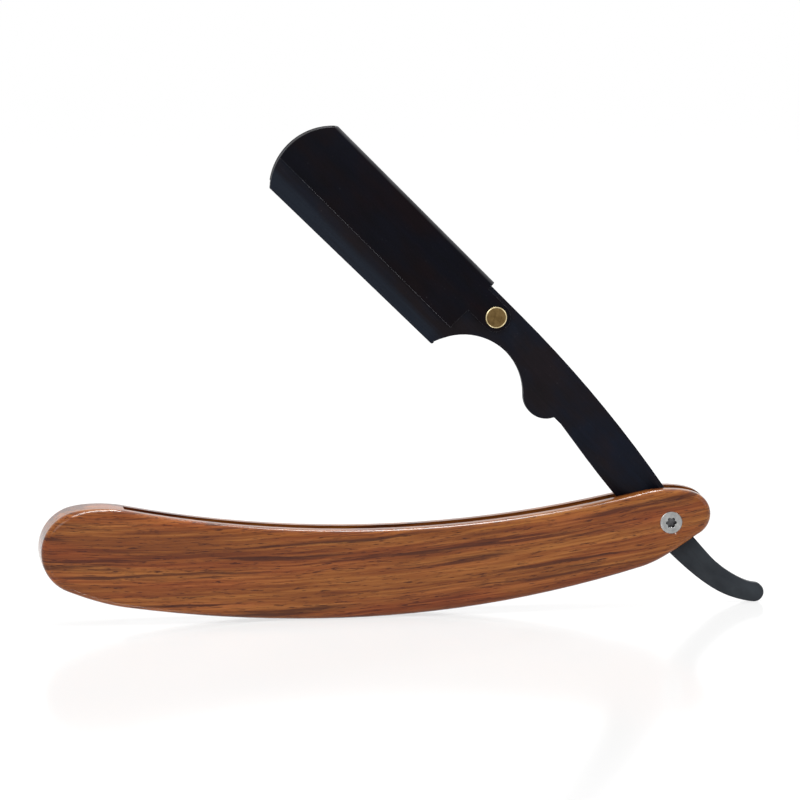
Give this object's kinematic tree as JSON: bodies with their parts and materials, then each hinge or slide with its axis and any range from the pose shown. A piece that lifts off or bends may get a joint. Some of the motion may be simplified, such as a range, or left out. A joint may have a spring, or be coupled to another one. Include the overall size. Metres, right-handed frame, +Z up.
{
  "type": "straight razor",
  "caption": "Folding straight razor with a wooden handle, steel tang with finger notch and tail, and a swing-open holder for half double-edge blades.",
  "frame": {"origin": "on the surface the razor stands on, under the middle of its box", "axes": "+X from the handle's butt towards its pivot, +Y from the front face to the back, +Z up"},
  "size_m": [0.1605, 0.0104, 0.1082],
  "materials": {
    "handle_wood": "satin lacquered rosewood",
    "screw_steel": "turned, bright",
    "washer_brass": "plain",
    "black_steel": "satin black",
    "black_cover": "satin black",
    "rivet_brass": "satin with a bright rim",
    "peg_steel": "plain"
  },
  "bodies": {
    "handle": {"front_scale": "handle_wood", "back_scale": "handle_wood", "end_wedge": "handle_wood", "pivot_screw": "screw_steel", "pivot_barrel": "screw_steel", "front_washer": "washer_brass", "back_washer": "washer_brass"},
    "leaf": {"blade_carrier": "black_steel", "swivel_rivet": "rivet_brass", "tip_peg": "peg_steel", "heel_peg": "peg_steel"},
    "cover": {"cover_channel": "black_cover"}
  },
  "joints": [
    {"name": "blade_fold", "type": "hinge", "parent": "handle", "child": "leaf", "pos_m": [0.0588, 0, 0.01905], "axis": [0, 1, 0], "range_deg": [-47.5, 222.5]},
    {"name": "cover_swing", "type": "hinge", "parent": "leaf", "child": "cover", "pos_m": [0.02061, 0, 0.06535], "axis": [0, 1, 0], "range_deg": [0, 100]}
  ]
}
